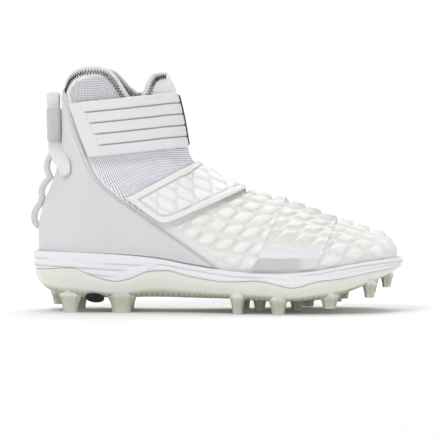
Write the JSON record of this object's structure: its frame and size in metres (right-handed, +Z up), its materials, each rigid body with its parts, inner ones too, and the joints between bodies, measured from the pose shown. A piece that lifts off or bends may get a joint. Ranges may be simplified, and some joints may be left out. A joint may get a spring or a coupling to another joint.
{
  "type": "american football cleat",
  "caption": "High-top american football cleat for the right foot: knitted bootie, strapped ankle and midfoot, cupped midsole and a moulded plate with studs.",
  "frame": {"origin": "on the floor under the middle of the shoe's bounding box", "axes": "+X towards the toe, -Y towards the outer side of the foot, +Z up"},
  "size_m": [0.3, 0.1074, 0.1965],
  "materials": {
    "outsole_plate": "translucent cream moulded plastic, satin",
    "midsole": "white moulded foam, matte",
    "insole": "grey cloth over foam",
    "upper": "white knit with raised diamonds in front and fine mesh at the ankle",
    "heel_quarter": "smooth pale synthetic leather, satin",
    "ankle_elastic": "black elastic webbing",
    "ankle_cover": "white ribbed synthetic, satin",
    "midfoot_strap": "white quilted synthetic with a bound edge",
    "forefoot_band": "thin white film over knit",
    "side_patch": "smooth pale grey film",
    "pull_loop": "white knitted webbing",
    "pull_sleeve": "smooth grey sleeve",
    "heel_cord": "white woven cord",
    "heel_plug": "black glossy plastic"
  },
  "bodies": {
    "root": {"outsole_plate": "outsole_plate", "midsole": "midsole", "insole": "insole", "upper": "upper", "heel_quarter": "heel_quarter", "ankle_elastic": "ankle_elastic", "ankle_cover": "ankle_cover", "midfoot_strap": "midfoot_strap", "forefoot_band": "forefoot_band", "side_patch": "side_patch", "pull_loop": "pull_loop", "pull_sleeve": "pull_sleeve", "heel_cord": "heel_cord", "heel_plug": "heel_plug"}
  },
  "joints": []
}
